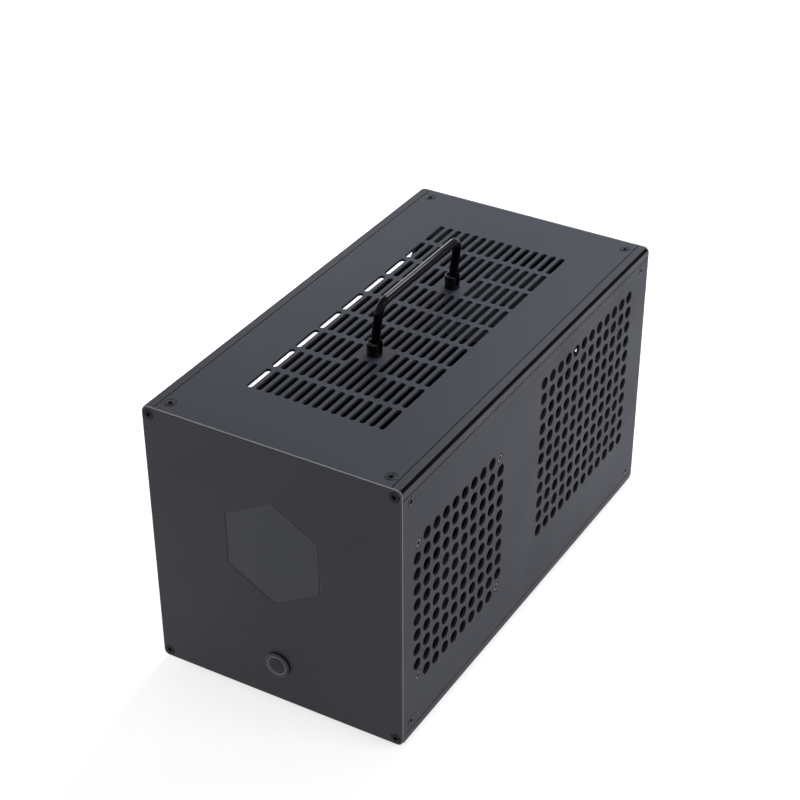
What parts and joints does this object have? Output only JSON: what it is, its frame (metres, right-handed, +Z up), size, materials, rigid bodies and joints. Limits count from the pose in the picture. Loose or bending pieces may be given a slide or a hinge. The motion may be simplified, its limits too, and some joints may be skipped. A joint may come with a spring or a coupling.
{
  "type": "external graphics card enclosure",
  "caption": "Perforated metal box for a desktop graphics card, with a side fan, a built-in power supply, a dock board, a front power button and a folding carrying handle on top.",
  "frame": {"origin": "centre of the footprint, on the ground under the rubber feet", "axes": "+Z up; -Y is the front with the power button; +X is the right side with the two round-hole vents; +Y is the back with the mains inlet and the card slots"},
  "size_m": [0.187, 0.352, 0.2448],
  "materials": {
    "plate": "satin fine-grained dark grey",
    "panel": "satin dark grey",
    "rail": "black anodised",
    "screw_black": "black oxide",
    "screw_bright": "zinc plated",
    "rubber": "matte",
    "handle": "glossy black",
    "button": "satin",
    "light_ring": "clear over a light",
    "black_plastic": "moulded",
    "steel": "plated sheet",
    "supply_steel": "black powder coat",
    "board": "coated circuit board",
    "heatsink": "raw",
    "brass": "plain",
    "white_plastic": "moulded"
  },
  "bodies": {
    "enclosure": {"front_plate": "plate", "back_plate": "plate", "rail_top_left": "rail", "rail_top_right": "rail", "rail_bottom_left": "rail", "rail_bottom_right": "rail", "top_panel": "panel", "bottom_panel": "panel", "left_panel": "panel", "right_panel": "panel", "front_plate_screws": "screw_black", "back_plate_screws": "screw_black", "top_panel_screws": "screw_black", "bottom_panel_screws": "screw_black", "left_panel_screws": "screw_black", "right_panel_screws": "screw_black", "rubber_feet": "rubber", "foot_screws": "screw_bright", "handle_post_front": "handle", "handle_post_rear": "handle", "handle_pins": "screw_bright", "handle_screws": "screw_bright", "button_body": "button", "button_light_ring": "light_ring", "button_nut": "steel", "fan_frame": "black_plastic", "fan_screws": "screw_bright", "psu_case": "supply_steel", "psu_electronics": "board", "psu_fan_frame": "black_plastic", "psu_fan_guard": "steel", "psu_inlet": "black_plastic", "psu_switch_body": "black_plastic", "psu_screws": "screw_black", "dock_board": "board", "board_parts": "black_plastic", "board_heatsink": "heatsink", "board_standoffs": "brass", "board_screws": "screw_bright", "card_socket": "black_plastic", "power_socket": "white_plastic", "host_ports": "steel", "power_lead": "black_plastic", "button_lead": "black_plastic", "fan_lead": "black_plastic", "card_frame": "steel", "slot_cover_1": "steel", "slot_cover_2": "steel", "slot_cover_3": "steel", "slot_cover_screws": "screw_bright"},
    "handle": {"handle_bar": "handle"},
    "power_button": {"button_cap": "button"},
    "side_fan": {"fan_rotor": "black_plastic"},
    "supply_fan": {"psu_fan_rotor": "black_plastic"},
    "supply_switch": {"psu_switch_rocker": "black_plastic"},
    "card_latch": {"socket_latch": "white_plastic"}
  },
  "joints": [
    {"name": "handle_fold", "type": "hinge", "parent": "enclosure", "child": "handle", "pos_m": [0, 0.0022, 0.2087], "axis": [0, 1, 0], "range_deg": [-7, 83]},
    {"name": "power_button_press", "type": "slide", "parent": "enclosure", "child": "power_button", "axis": [0, 1, 0], "range_m": [0, 0.0015], "stiffness_N_per_m": 300},
    {"name": "side_fan_spin", "type": "hinge", "parent": "enclosure", "child": "side_fan", "pos_m": [0.079, -0.102, 0.102], "axis": [1, 0, 0], "continuous": true},
    {"name": "supply_fan_spin", "type": "hinge", "parent": "enclosure", "child": "supply_fan", "pos_m": [0.076, 0.078, 0.118], "axis": [1, 0, 0], "continuous": true},
    {"name": "supply_switch_rock", "type": "hinge", "parent": "enclosure", "child": "supply_switch", "pos_m": [0.0622, 0.169, 0.067], "axis": [1, 0, 0], "range_deg": [-18, 0]},
    {"name": "card_latch_tip", "type": "hinge", "parent": "enclosure", "child": "card_latch", "pos_m": [-0.0285, 0.0189, 0.0171], "axis": [1, 0, 0], "range_deg": [0, 25]}
  ]
}
